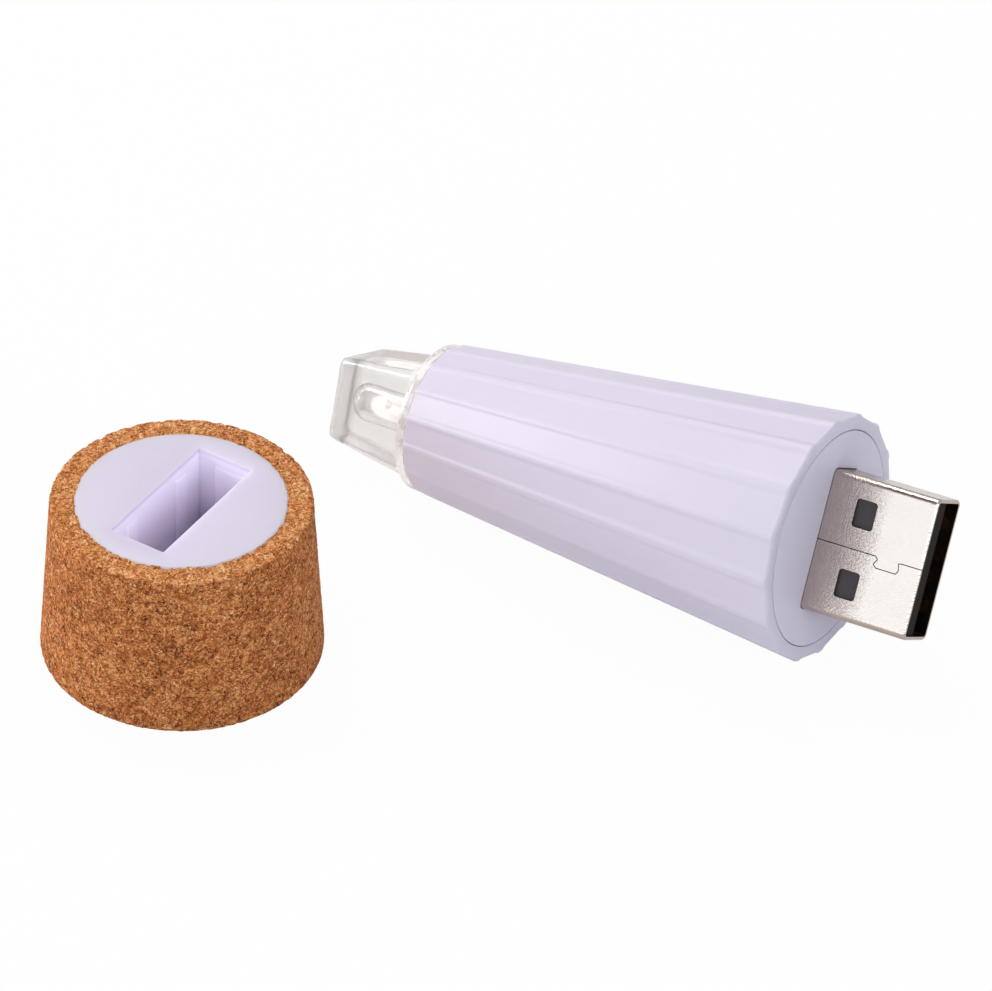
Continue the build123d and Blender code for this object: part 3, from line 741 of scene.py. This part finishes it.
# %% Sizes of the cap
insert_points = upright("cap_insert", STOOD)
CAP_HEIGHT = highest(insert_points)
INSERT_RADIUS = widest(insert_points)
INSERT_LOW = lowest(insert_points)
INSERT_EDGE = 0.30 * MM
SLOT_HALF_LENGTH = 6.4 * MM
SLOT_HALF_WIDTH = 2.575 * MM
SLOT_CORNER = 0.12 * MM
SLOT_DEPTH = 10.6 * MM
SLOT_FLOOR = CAP_HEIGHT - SLOT_DEPTH
MOUTH_EDGE = 0.10 * MM
GRIP_HEIGHT = 0.2 * MM
GRIP_HALF = 0.8 * MM
GRIP_PLACE_SHARE = 0.56
GRIP_PLACE = GRIP_PLACE_SHARE * SLOT_HALF_LENGTH
GRIP_FLANK = 0.16 * MM
GRIP_DROP = 1.0 * MM
GRIP_TOP = CAP_HEIGHT - GRIP_DROP
PAD_WIDTH = 3.55 * MM
SLOT_STEP = 0.12 * MM


# %% The cap's insert
def stands(place, low, high):
    """1 where a rib stands between two places, easing to 0 on its flanks."""
    return eased((place - low) / GRIP_FLANK) * eased((high - place) / GRIP_FLANK)


def bulge(point):
    """How far the slot's wall stands inwards at a point of its loop."""
    on_side = abs(point.x) > SLOT_HALF_WIDTH - HAIR
    on_end = abs(point.y) > SLOT_HALF_LENGTH - HAIR
    if on_side:
        place = abs(point.y)
        share = stands(place, GRIP_PLACE - GRIP_HALF, GRIP_PLACE + GRIP_HALF)
        return Vector((-math.copysign(share, point.x), 0, 0))
    if on_end:
        place = math.copysign(1, point.y) * point.x
        share = eased((place - SLOT_HALF_WIDTH + PAD_WIDTH) / GRIP_FLANK)
        return Vector((0, -math.copysign(share, point.y), 0))
    return Vector((0, 0, 0))


def slot_walls(bm, loop):
    """Extrudes the slot's loop down to its floor, with the grip ribs."""
    inward = {tuple(v.co.xy): bulge(v.co) for v in corners(loop)}
    last = 0.0
    for height, share in (
        (GRIP_TOP, 0.0),
        (GRIP_TOP - GRIP_FLANK / 2, 0.5),
        (GRIP_TOP - GRIP_FLANK, 1.0),
        (SLOT_FLOOR, 1.0),
    ):
        loop = grow(bm, loop, height)
        moved = {}
        for vertex in corners(loop):
            push = inward[tuple(vertex.co.xy)]
            vertex.co += push * GRIP_HEIGHT * (share - last)
            moved[tuple(vertex.co.xy)] = push
        inward = moved
        last = share
    close(bm, loop)


def cap_insert():
    bm = bmesh.new()
    outer = ring(bm, INSERT_RADIUS, CAP_HEIGHT)
    slot = rounded_loop(bm, SLOT_HALF_WIDTH, SLOT_HALF_LENGTH, SLOT_CORNER, CAP_HEIGHT, segments=3)
    for edge in slot:
        cuts = int(edge.calc_length() / SLOT_STEP)
        if cuts > 1:
            bmesh.ops.subdivide_edges(bm, edges=[edge], cuts=cuts)
    slot = [e for e in bm.edges if all(v.co.xy.length < INSERT_RADIUS - HAIR for v in e.verts)]
    bmesh.ops.triangle_fill(bm, use_beauty=True, edges=outer + slot)
    close(bm, grow(bm, outer, INSERT_LOW, scale=1))
    slot_walls(bm, slot)
    bmesh.ops.recalc_face_normals(bm, faces=bm.faces)
    top = [e for e in folds(bm, 50) if min(v.co.z for v in e.verts) > CAP_HEIGHT - HAIR]
    rim = [e for e in top if e.verts[0].co.xy.length > INSERT_RADIUS - HAIR]
    soften(bm, [e for e in top if e not in rim], MOUTH_EDGE, segments=3)
    soften(bm, rim, INSERT_EDGE, segments=4)
    return bm


finish_piece(
    cap_insert(), "insert", STOOD, "cap", INSERT_PLASTIC, replaces=["cap_insert"]
)

# %% [markdown]
# The cork sleeve is turned and then looks torn: chips stand a little proud or have fallen out, most of
# all at the edges. Bump alone would leave its outline as clean as a lathe's. So a drawn profile is cut
# fine, spun into a skin, and each point is then sunk a little by a cell pattern: chips at slightly
# different heights, and a crease where two meet. Points only move inwards, so the sleeve keeps its size.

# %% Sizes of the sleeve
BASE_RADIUS = 11.95 * MM
TOP_RADIUS = 10.90 * MM
BASE_EDGE = 0.55 * MM
TOP_EDGE = 0.25 * MM
POCKET_GAP = 0.02 * MM
POCKET_RADIUS = INSERT_RADIUS + POCKET_GAP
LIP_RADIUS = INSERT_RADIUS - INSERT_EDGE
LIP_DROP = 0.25 * MM
SLEEVE_ROUND = 432
SLEEVE_STEP = 0.165 * MM
BASE_STEPS = 4
CHIP_CELLS = 1.5 / MM
CHIP_LIFT = 0.06 * MM
CREASE_DEPTH = 0.07 * MM
CREASE_SHARE = 0.22
FINE_CELLS = 4.0 / MM
FINE_DEPTH = 0.02 * MM
TORN_CELLS = 1.7 / MM
TORN_DEPTH = 0.55 * MM
TORN_REACH = 0.7 * MM


# %% The cork sleeve
def sleeve_profile(bm):
    """Half the sleeve's section, from the middle of its base to the middle of its pocket."""
    places = [
        (0, 0),
        (BASE_RADIUS, 0),
        (TOP_RADIUS, CAP_HEIGHT),
        (LIP_RADIUS, CAP_HEIGHT),
        (POCKET_RADIUS, CAP_HEIGHT - LIP_DROP),
        (POCKET_RADIUS, INSERT_LOW),
        (0, INSERT_LOW),
    ]
    verts = [bm.verts.new((x, 0, z)) for x, z in places]
    for pair in zip(verts, verts[1:]):
        bm.edges.new(pair)
    for vertex, offset in ((verts[1], BASE_EDGE), (verts[2], TOP_EDGE)):
        bmesh.ops.bevel(
            bm, geom=[vertex], offset=offset, segments=4, profile=0.5, affect="VERTICES", material=-1
        )
    for edge in list(bm.edges):
        length = edge.calc_length()
        at_base = max(v.co.z for v in edge.verts) < HAIR
        in_floor = min(v.co.x for v in edge.verts) < LIP_RADIUS - HAIR and not at_base
        in_pocket = max(v.co.x for v in edge.verts) < POCKET_RADIUS + HAIR
        step = SLEEVE_STEP * (BASE_STEPS if at_base else 1)
        if length > step and not in_floor and not in_pocket:
            bmesh.ops.subdivide_edges(bm, edges=[edge], cuts=int(length / step))


def near_edge(point):
    """1 at the sleeve's outer top edge or its inner lip, 0 further away than the torn reach."""
    radius = math.hypot(point.x, point.y)
    outer = math.hypot(radius - TOP_RADIUS, point.z - CAP_HEIGHT)
    inner = math.hypot(radius - LIP_RADIUS, point.z - CAP_HEIGHT)
    return max(0.0, 1 - min(outer, inner) / TORN_REACH)


def sink_chips(point):
    """How far a point of the cork's skin lies under the turned surface."""
    near, centres = noise.voronoi(point * CHIP_CELLS)
    crease = max(0.0, 1 - (near[1] - near[0]) / CREASE_SHARE)
    chip = noise.noise(centres[0] * 7.3) * 0.5 + 0.5
    fine = noise.noise(point * FINE_CELLS) * 0.5 + 0.5
    torn = max(0.0, noise.noise(point * TORN_CELLS) - 0.05)
    depth = CHIP_LIFT * chip + CREASE_DEPTH * crease * crease + FINE_DEPTH * fine
    return depth + TORN_DEPTH * torn * near_edge(point) * (0.4 + 0.6 * chip)


def cork_sleeve():
    bm = bmesh.new()
    sleeve_profile(bm)
    bmesh.ops.spin(
        bm,
        geom=bm.verts[:] + bm.edges[:],
        cent=(0, 0, 0),
        axis=(0, 0, 1),
        angle=2 * math.pi,
        steps=SLEEVE_ROUND,
        use_merge=True,
    )
    bmesh.ops.remove_doubles(bm, verts=bm.verts, dist=HAIR / 2)
    bmesh.ops.recalc_face_normals(bm, faces=bm.faces)
    bm.normal_update()
    skin = [v for v in bm.verts if v.co.xy.length > POCKET_RADIUS + HAIR or v.co.z > CAP_HEIGHT - HAIR]
    places = [v.co - v.normal * sink_chips(v.co) for v in skin]
    for vertex, place in zip(skin, places):
        vertex.co = place
        vertex.co.z = max(place.z, 0)
    return bm


finish_piece(cork_sleeve(), "sleeve", STOOD, "cap", CORK, replaces=["cork_sleeve"], sharp=80)

# %% [markdown]
# The lens tip is a short clear cone with four flats for the fingers, a flange that meets the shell, and
# a hollow for the lamp. Its corners are soft, as on any small clear moulding. The whole piece is one
# chain of rings, from the middle of its end face round to the middle of its hollow. In the squared part
# a ring's radius is a formula of the angle: a power mean of the two nearest flats and the cone, which
# rounds every corner. Cutting a cone with planes and bevelling the cuts gives harder, less even edges.

# %% Sizes of the lens tip
lens_points = upright("lens_tip", LAID)
LENS_LOW = lowest(lens_points)
SPIGOT_TOP = highest(lens_points)
FLANGE_RADIUS = widest(lens_points)
FLANGE_LOW = -0.85 * MM
FLANGE_HIGH = -0.05 * MM
FLANGE_EDGE = 0.10 * MM
FLANGE_STEP = 0.08 * MM
LENS_BASE_RADIUS = FLANGE_RADIUS - FLANGE_STEP
LENS_END_RADIUS = 5.10 * MM
FLAT_AT_BASE = 4.85 * MM
FLAT_AT_END = 3.60 * MM
FLAT_TURN = math.radians(9)
CORNER_POWER = 22
END_EDGE = 0.60 * MM
SPIGOT_RADIUS = 4.85 * MM
SPIGOT_BORE = 3.60 * MM
BEAD_RADIUS = 5.05 * MM
BEAD_LOW = 1.225 * MM
BEAD_HIGH = 1.825 * MM
STEP_DOWN = -1.3 * MM
COLLAR_ROOM = 2.1 * MM
COLLAR_END = -2.2 * MM
LAMP_ROOM = 1.70 * MM
DOME_START = -6.3 * MM
LENS_ROUND = 192
BODY_RINGS = 6
EDGE_RINGS = 6
DOME_RINGS = 10


# %% The lens tip
def squared_radius(angle, height):
    """Radius of the squared cone at an angle and a height."""
    share = (height - LENS_LOW) / (FLANGE_LOW - LENS_LOW)
    flat = FLAT_AT_END + (FLAT_AT_BASE - FLAT_AT_END) * share
    cone = LENS_END_RADIUS + (LENS_BASE_RADIUS - LENS_END_RADIUS) * share
    aside = abs((angle - FLAT_TURN + math.pi / 4) % (math.pi / 2) - math.pi / 4)
    nearest = math.cos(aside) / flat
    next_one = math.sin(aside) / flat
    return (nearest**CORNER_POWER + next_one**CORNER_POWER + cone**-CORNER_POWER) ** (-1 / CORNER_POWER)


def square_up(edges, height, inset=0.0):
    """Moves a ring to the squared cone's outline at its height, less an inset."""
    for vertex in corners(edges):
        angle = math.atan2(vertex.co.y, vertex.co.x)
        far = squared_radius(angle, height) - inset
        vertex.co.xy = Vector((math.cos(angle), math.sin(angle))) * far


def lens_tip():
    bm = bmesh.new()
    edges = ring(bm, LENS_END_RADIUS, LENS_LOW, segments=LENS_ROUND)
    square_up(edges, LENS_LOW, END_EDGE)
    close(bm, edges)
    for k in range(1, EDGE_RINGS + 1):
        angle = k / EDGE_RINGS * math.pi / 2
        height = LENS_LOW + END_EDGE * (1 - math.cos(angle))
        edges = grow(bm, edges, height)
        square_up(edges, height, END_EDGE * (1 - math.sin(angle)))
    for k in range(1, BODY_RINGS + 1):
        height = LENS_LOW + END_EDGE + (FLANGE_LOW - LENS_LOW - END_EDGE) * k / BODY_RINGS
        edges = grow(bm, edges, height)
        square_up(edges, height)
    steps = [
        (FLANGE_RADIUS - FLANGE_EDGE / 2, FLANGE_LOW),
        (FLANGE_RADIUS, FLANGE_LOW + FLANGE_EDGE),
        (FLANGE_RADIUS, FLANGE_HIGH),
        (SPIGOT_RADIUS, FLANGE_HIGH),
        (SPIGOT_RADIUS, BEAD_LOW),
        (BEAD_RADIUS, BEAD_LOW),
        (BEAD_RADIUS, BEAD_HIGH),
        (SPIGOT_RADIUS, BEAD_HIGH),
        (SPIGOT_RADIUS, SPIGOT_TOP),
        (SPIGOT_BORE, SPIGOT_TOP),
        (SPIGOT_BORE, STEP_DOWN),
        (COLLAR_ROOM, STEP_DOWN),
        (COLLAR_ROOM, COLLAR_END),
        (LAMP_ROOM, COLLAR_END),
        (LAMP_ROOM, DOME_START),
    ]
    for k in range(1, DOME_RINGS):
        angle = k * math.pi / (2 * DOME_RINGS)
        steps.append((LAMP_ROOM * math.cos(angle), DOME_START - LAMP_ROOM * math.sin(angle)))
    close(bm, grow_all(bm, edges, steps))
    bmesh.ops.recalc_face_normals(bm, faces=bm.faces)
    return bm


finish_piece(lens_tip(), "lens", LAID, "tip", LENS_CLEAR, replaces=["lens_tip"], sharp=35)

# %% [markdown]
# A clear lamp shows its inside: two flat posts rise from the leads, and one of them carries a small cup
# that faces the dome, where the light-giving chip sits. The posts are bevelled bars and the cup is a few
# rings, and they sit inside the lamp's clear body. Without them the lamp would look like a glass bead.

# %% The lamp's inside
LEAD_PITCH = 1.27 * MM
POST_PLACE = LEAD_PITCH / 2
POST_HALF = 0.22 * MM
POST_THIN = 0.10 * MM
POST_LOW = -1.4 * MM
POST_HIGH = -4.1 * MM
CUP_RADIUS = 0.52 * MM
CUP_DEPTH = 0.45 * MM
CUP_FOOT_SHARE = 0.55
CUP_RIM_SHARE = 0.86
CUP_FLOOR_SHARE = 0.45
CUP_WALL_SHARE = 0.35
CUP_ROUND = 32


def bar(bm, low, high, edge):
    """A bevelled bar between two corners."""
    low, high = Vector(low), Vector(high)
    size = Matrix.Diagonal((*(high - low), 1))
    made = bmesh.ops.create_cube(bm, size=1, matrix=Matrix.Translation((low + high) / 2) @ size)
    edges = list({e for vertex in made["verts"] for e in vertex.link_edges})
    soften(bm, edges, edge, segments=2)


def lamp_frame():
    bm = bmesh.new()
    edges = ring(bm, CUP_RADIUS * CUP_FOOT_SHARE, POST_HIGH, segments=CUP_ROUND)
    close(bm, edges)
    steps = [
        (CUP_RADIUS, POST_HIGH - CUP_DEPTH),
        (CUP_RADIUS * CUP_RIM_SHARE, POST_HIGH - CUP_DEPTH),
        (CUP_RADIUS * CUP_FLOOR_SHARE, POST_HIGH - CUP_DEPTH * CUP_WALL_SHARE),
    ]
    close(bm, grow_all(bm, edges, steps))
    bmesh.ops.translate(bm, vec=(POST_PLACE / 2, 0, 0), verts=bm.verts)
    for side in (1, -1):
        low = (side * POST_PLACE - POST_HALF, -POST_THIN, POST_HIGH)
        high = (side * POST_PLACE + POST_HALF, POST_THIN, POST_LOW)
        bar(bm, low, high, POST_THIN / 3)
    bmesh.ops.recalc_face_normals(bm, faces=bm.faces)
    return bm


finish_piece(lamp_frame(), "lamp_frame", LAID, "light", TINNED_WIRE)

# %% [markdown]
# The remaining pieces already have the right shape in the model, so each keeps it and only takes its
# finish. Their material goes into the mesh's first slot.

# %% Finishes of the other pieces
FINISHES = {
    "plug_shell": PLUG_STEEL,
    "plug_insulator": PLUG_BLACK,
    "plug_contacts": GOLD_FLASH,
    "twist_contact": BRASS_STRIP,
    "switch_pads": GOLD_FLASH,
    "lamp": LAMP_EPOXY,
    "lamp_leads": TINNED_WIRE,
    "lamp_board": BOARD_GREEN,
    "inner_carrier": CARRIER_WHITE,
    "battery_can": BATTERY_STEEL,
    "battery_button": BATTERY_STEEL,
    "battery_gasket": GASKET_NYLON,
    "battery_sleeve": SLEEVE_BLUE,
    "positive_strap": NICKEL_STRIP,
    "negative_strap": NICKEL_STRIP,
    "red_lamp_wire": WIRE_RED,
    "black_lamp_wire": WIRE_BLACK,
    "circuit_board": BOARD_GREEN,
    "charging_chip": CHIP_EPOXY,
    "chip_legs": TINNED_WIRE,
    "chip_resistors": RESISTOR_GLAZE,
    "chip_capacitors": CAPACITOR_TAN,
    "charge_indicator": INDICATOR_RESIN,
    "fluted_shell": SHELL_PLASTIC,
    "end_disc": SHELL_PLASTIC,
    "cap_insert": INSERT_PLASTIC,
    "cork_sleeve": CORK,
    "lens_tip": LENS_CLEAR,
}
for name, material in FINISHES.items():
    mesh = NODES[name].data
    mesh.materials.clear()
    mesh.materials.append(material)
print("finished nodes:", len(FINISHES))

# %% [markdown]
# The table is a wide pale floor. In the photograph nothing is left of it, so to the camera it is mostly
# plain white, with a little of the real shadow kept so that the pieces don't float. In reflections most
# of it stays the grey, shaded table, or the shell's underside would mirror white where it nearly touches
# down. The world is white to look at and softer as a source of light. What the metal mirrors is a third
# thing, a room that is dark low down, bright in the middle and dim above, because a plug in an all-white
# room has no dark side and looks flat. Rays that come through clear plastic see plain white instead, or
# the lens tip would turn grey.

# %% Table and world
FLOOR_REACH = 1.5
WHITE_SHARE = 0.965
ROOM_LIGHT = 0.42
FLOOR_GREY = 0.82
FLOOR_GLOSS_SHARE = 0.25
# Each row: how steeply a mirrored ray rises, and the colour that it meets.
ROOM_WALLS = (
    (0.00, (0.10, 0.09, 0.09)),
    (0.14, (0.12, 0.11, 0.10)),
    (0.20, (0.74, 0.86, 0.97)),
    (0.52, (0.74, 0.86, 0.97)),
    (0.66, (0.30, 0.28, 0.28)),
    (1.00, (0.25, 0.24, 0.25)),
)


def seen_directly(material, gloss_share=1.0):
    """1 for rays from the camera and through glass, a share of 1 for rays off gloss, else 0."""
    path = add(material, "ShaderNodeLightPath").outputs
    mirrored = sums(material, "MULTIPLY", path["Is Glossy Ray"], gloss_share)
    seen = sums(material, "MAXIMUM", path["Is Camera Ray"], mirrored)
    return sums(material, "MAXIMUM", seen, path["Is Transmission Ray"])


class Tree:
    """Lets the node helpers work on the world as they do on a material."""

    def __init__(self, owner):
        self.node_tree = owner.node_tree


def pale_floor():
    bm = bmesh.new()
    bmesh.ops.create_grid(bm, x_segments=1, y_segments=1, size=FLOOR_REACH)
    mesh = bpy.data.meshes.new("floor")
    bm.to_mesh(mesh)
    bm.free()
    floor = bpy.data.objects.new("floor", mesh)
    bpy.context.scene.collection.objects.link(floor)
    material, shader = new_material("pale_floor", Roughness=0.9)
    shader.inputs["Base Color"].default_value = (FLOOR_GREY, FLOOR_GREY, FLOOR_GREY, 1)
    white = add(material, "ShaderNodeEmission", {"Color": (1, 1, 1, 1), "Strength": 1.0}).outputs[0]
    factor = sums(material, "MULTIPLY", seen_directly(material, FLOOR_GLOSS_SHARE), WHITE_SHARE)
    both = add(material, "ShaderNodeMixShader", {0: factor, 1: shader.outputs[0], 2: white}).outputs[0]
    link(material, both, material.node_tree.nodes["Material Output"].inputs["Surface"])
    mesh.materials.append(material)


def white_world():
    world = bpy.data.worlds.new("room")
    bpy.context.scene.world = world
    world.use_nodes = True
    tree = Tree(world)
    base = world.node_tree.nodes["Background"]
    base.inputs["Color"].default_value = (0.97, 0.98, 1.0, 1)
    base.inputs["Strength"].default_value = ROOM_LIGHT
    white = add(tree, "ShaderNodeBackground", {"Color": (1, 1, 1, 1), "Strength": 1.0}).outputs[0]
    both = add(tree, "ShaderNodeMixShader", {0: seen_directly(tree), 1: base.outputs[0], 2: white}).outputs[0]
    direction = add(tree, "ShaderNodeTexCoord").outputs["Generated"]
    walls = ramp(tree, part_of(tree, direction, "Z"), ROOM_WALLS)
    mirrored = add(tree, "ShaderNodeBackground", {"Color": walls, "Strength": 1.0}).outputs[0]
    path = add(tree, "ShaderNodeLightPath").outputs
    outside = sums(tree, "LESS_THAN", path["Transmission Depth"], 0.5)
    glossy = sums(tree, "MULTIPLY", path["Is Glossy Ray"], outside)
    both = add(tree, "ShaderNodeMixShader", {0: glossy, 1: both, 2: mirrored}).outputs[0]
    link(tree, both, world.node_tree.nodes["World Output"].inputs["Surface"])


pale_floor()
white_world()

# %% [markdown]
# Soft studio light. A large key lamp high up at the back left makes the tops bright, and one at the
# left lights the cork's left flank and draws the shell's ribs. Two weak lamps in front and one at the
# right lift the shadows, some of them a little bluer. All have few watts, because the object is small
# and close to them.

# %% Lamps
MIDDLE = Vector((0, 0, 8 * MM))


def softbox(name, place, size, power, tint):
    lamp = bpy.data.lights.new(name, "AREA")
    lamp.shape = "DISK"
    lamp.size = size
    lamp.energy = power
    lamp.color = tint
    holder = bpy.data.objects.new(name, lamp)
    bpy.context.scene.collection.objects.link(holder)
    holder.location = place
    holder.rotation_euler = (MIDDLE - Vector(place)).to_track_quat("-Z", "Y").to_euler()


softbox("key", (-0.26, 0.25, 0.60), 0.40, 1.88, (1.0, 0.965, 0.94))
softbox("left", (-0.62, -0.22, 0.22), 0.30, 2.40, (1.0, 0.985, 0.97))
softbox("front", (-0.30, -0.48, 0.24), 0.34, 0.33, (0.84, 0.94, 1.0))
softbox("low_front", (-0.12, -0.60, 0.10), 0.30, 0.32, (1.0, 0.99, 1.0))
softbox("side", (0.52, -0.16, 0.28), 0.30, 1.03, (0.84, 0.95, 1.0))

# %% [markdown]
# The camera stands where the photographer's did. The lens is long and the camera far away, which is
# why the two rims of the light look so little different in tilt. The horizon leans by two degrees, as
# it does in the photograph.

# %% Camera
CAMERA_REACH = 526.74 * MM
CAMERA_TURN = math.radians(30.7)
CAMERA_RISE = math.radians(38.85)
CAMERA_ROLL = math.radians(1.96)
CAMERA_AIM = Vector((-9.77, 16.51, 0)) * MM
LENS = 221.35
SENSOR = 36
NEAREST = 10 * MM

towards = Vector(
    (
        math.sin(CAMERA_TURN) * math.cos(CAMERA_RISE),
        -math.cos(CAMERA_TURN) * math.cos(CAMERA_RISE),
        math.sin(CAMERA_RISE),
    )
)
camera_data = bpy.data.cameras.new("camera")
camera_data.lens = LENS
camera_data.sensor_width = SENSOR
camera_data.clip_start = NEAREST
camera_data.dof.use_dof = False
camera = bpy.data.objects.new("camera", camera_data)
bpy.context.scene.collection.objects.link(camera)
look = (-towards).to_track_quat("-Z", "Y").to_matrix().to_4x4()
stand = Matrix.Translation(CAMERA_AIM + towards * CAMERA_REACH)
camera.matrix_world = stand @ look @ Matrix.Rotation(CAMERA_ROLL, 4, "Z")
bpy.context.scene.camera = camera
bpy.context.scene.view_settings.view_transform = "Standard"
